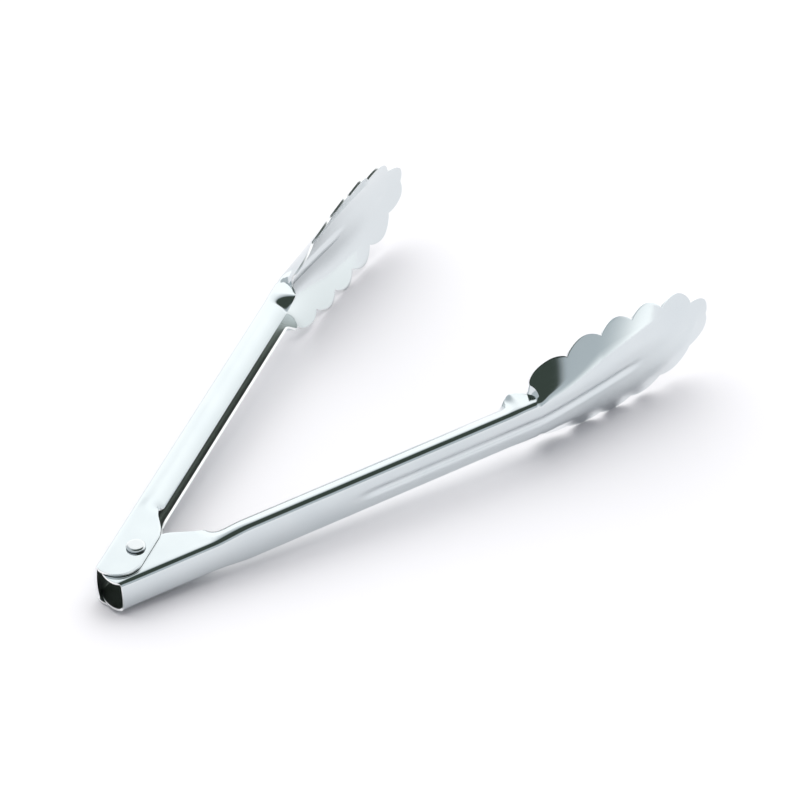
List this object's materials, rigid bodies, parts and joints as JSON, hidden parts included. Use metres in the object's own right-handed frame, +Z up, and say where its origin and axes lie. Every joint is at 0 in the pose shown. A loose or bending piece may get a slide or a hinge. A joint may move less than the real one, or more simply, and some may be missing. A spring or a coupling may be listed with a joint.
{
  "type": "spring loaded kitchen tongs",
  "caption": "Kitchen tongs with two pressed steel channel arms turning on one rivet, sprung open, each ending in a shallow scalloped scoop.",
  "frame": {"origin": "middle of the rivet's lower head face, where the hinge axis leaves the tongs", "axes": "+Z up as the tongs lie on their side; +X midway between the released arms, from the hinge towards the scoops; +Y towards the outer arm. The hinge axis leans 3.48 degrees from +Z towards -X, because the scoops are wider than the hinge"},
  "size_m": [0.2956, 0.1699, 0.0481],
  "materials": {
    "polished_steel": "stainless steel sheet, polished bright after pressing",
    "rivet_steel": "headed stainless steel, bright",
    "spring_steel": "drawn stainless spring wire"
  },
  "bodies": {
    "outer_arm": {"outer_arm": "polished_steel", "hinge_rivet": "rivet_steel", "torsion_spring": "spring_steel"},
    "inner_arm": {"inner_arm": "polished_steel"}
  },
  "joints": [
    {"name": "arm_hinge", "type": "hinge", "parent": "outer_arm", "child": "inner_arm", "pos_m": [-0.00062, 0, 0.00998], "axis": [-0.0624, 0, 0.998], "range_deg": [0, 33.5], "stiffness_Nm_per_rad": 0.5, "springref_deg": -28.65, "deforming": ["torsion_spring"]}
  ]
}
